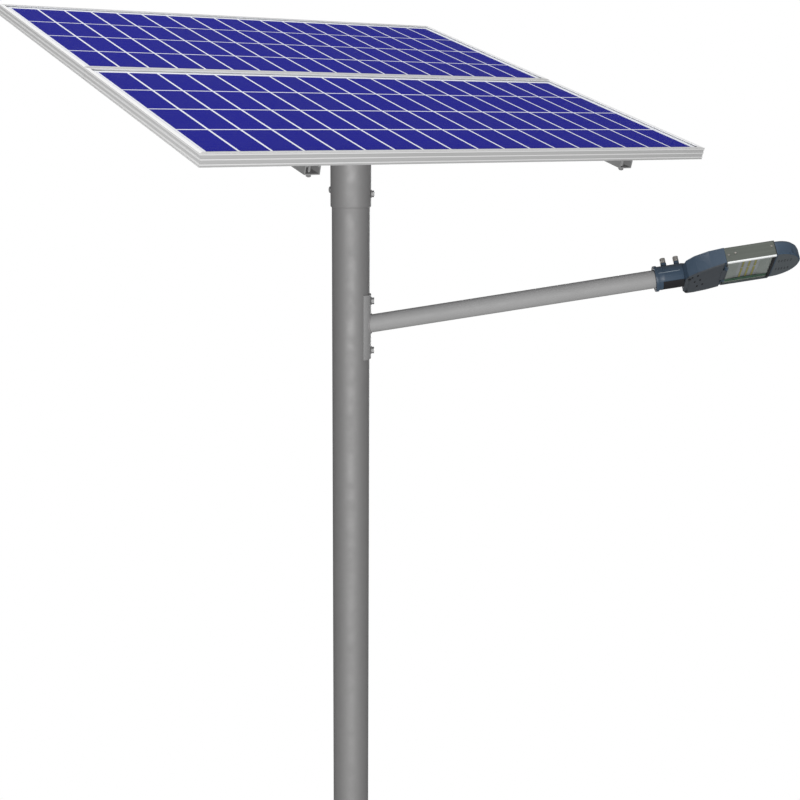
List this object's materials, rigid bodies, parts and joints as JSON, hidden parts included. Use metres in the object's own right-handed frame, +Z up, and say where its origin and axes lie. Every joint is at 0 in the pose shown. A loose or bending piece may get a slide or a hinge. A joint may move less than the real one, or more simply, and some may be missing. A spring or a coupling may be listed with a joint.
{
  "type": "solar street lamp",
  "caption": "Pole-top solar street lamp with two tilted panels on a turning saddle, a side arm with a rolling LED lantern and a battery door in the pole.",
  "frame": {"origin": "centre of the base flange's underside, on the pole's axis", "axes": "+Z up the pole; +X along the lamp arm, towards the lantern's nose; -Y is the side the lantern's window is rolled towards and the battery door faces"},
  "size_m": [2.3455, 1.9857, 4.997],
  "materials": {
    "pole_paint": "satin grey powder coat",
    "arm_paint": "satin light grey powder coat",
    "galvanised": "hot-dip galvanised",
    "rail_grey": "matt grey",
    "zinc": "zinc plated",
    "stainless": "stainless",
    "panel_frame": "clear anodised",
    "panel_glass": "clear tempered",
    "solar_cell": "deep blue silicon",
    "backsheet": "white film",
    "black_plastic": "moulded",
    "black_rubber": "matt",
    "lantern_blue": "blue-grey powder coat",
    "lantern_dark": "dark grey powder coat",
    "heat_sink": "natural extruded",
    "driver_case": "plain",
    "circuit_board": "white solder mask",
    "led_phosphor": "yellow phosphor",
    "reflector": "light grey coat",
    "lantern_glass": "clear tempered",
    "bezel": "bright",
    "battery": "blue shrink sleeve",
    "controller": "moulded case on a steel plate"
  },
  "bodies": {
    "pole": {"pole_tube": "pole_paint", "base_flange": "pole_paint", "base_gussets": "pole_paint", "door_hinge_brackets": "pole_paint", "door_hinge_pin": "zinc", "battery_shelf": "galvanised", "battery_pack": "battery", "charge_controller": "controller", "arm_saddle": "arm_paint", "arm_saddle_bolts": "zinc", "arm_tube": "arm_paint"},
    "access_door": {"access_door": "pole_paint", "door_lock": "zinc"},
    "array_mount": {"post_top_sleeve": "pole_paint", "saddle_cap_plate": "pole_paint", "tilt_ear_left": "pole_paint", "tilt_ear_right": "pole_paint", "sleeve_screws": "zinc", "pivot_bolt": "zinc"},
    "array": {"lock_bolt": "zinc", "tilt_knuckle": "galvanised", "torque_tube": "galvanised", "torque_tube_caps": "black_plastic", "rail_bolts": "zinc", "left_rail": "rail_grey", "right_rail": "rail_grey", "panel_bolts": "zinc", "front_panel_front_bar": "panel_frame", "front_panel_back_bar": "panel_frame", "front_panel_left_bar": "panel_frame", "front_panel_right_bar": "panel_frame", "back_panel_front_bar": "panel_frame", "back_panel_back_bar": "panel_frame", "back_panel_left_bar": "panel_frame", "back_panel_right_bar": "panel_frame", "front_panel_glass": "panel_glass", "front_panel_cells": "solar_cell", "front_panel_backsheet": "backsheet", "back_panel_glass": "panel_glass", "back_panel_cells": "solar_cell", "back_panel_backsheet": "backsheet", "junction_boxes": "black_plastic"},
    "lantern": {"spigot_socket": "lantern_blue", "spigot_pad": "black_rubber", "spigot_screws": "stainless", "driver_housing": "lantern_blue", "driver_module": "driver_case", "driver_cover_pin": "stainless", "heat_sink": "heat_sink", "side_screws": "stainless", "led_board": "circuit_board", "led_chips": "led_phosphor", "window_reflectors": "reflector", "window_glass": "lantern_glass", "bezel_rails": "bezel", "nose_gasket": "black_rubber", "nose_cap": "lantern_blue", "nose_grille": "lantern_dark"},
    "driver_cover": {"driver_cover": "lantern_dark", "driver_cover_screws": "stainless"}
  },
  "joints": [
    {"name": "door_swing", "type": "hinge", "parent": "pole", "child": "access_door", "pos_m": [-0.04886, -0.03817, 0.6], "axis": [0, 0, -1], "range_deg": [0, 110]},
    {"name": "array_turn", "type": "hinge", "parent": "pole", "child": "array_mount", "pos_m": [0, 0, 4.5], "axis": [0, 0, 1], "range_deg": [-170, 170]},
    {"name": "array_tilt", "type": "hinge", "parent": "array_mount", "child": "array", "pos_m": [0, 0, 4.632], "axis": [0.8348, 0.5505, 0], "range_deg": [-16, 12]},
    {"name": "lantern_roll", "type": "hinge", "parent": "pole", "child": "lantern", "pos_m": [0.8899, 0, 4.2271], "axis": [0.9865, 0, 0.164], "range_deg": [-57, 123]},
    {"name": "cover_swing", "type": "hinge", "parent": "lantern", "child": "driver_cover", "pos_m": [1.08756, -0.01122, 4.24245], "axis": [-0.0893, -0.8387, 0.5373], "range_deg": [0, 80]}
  ]
}
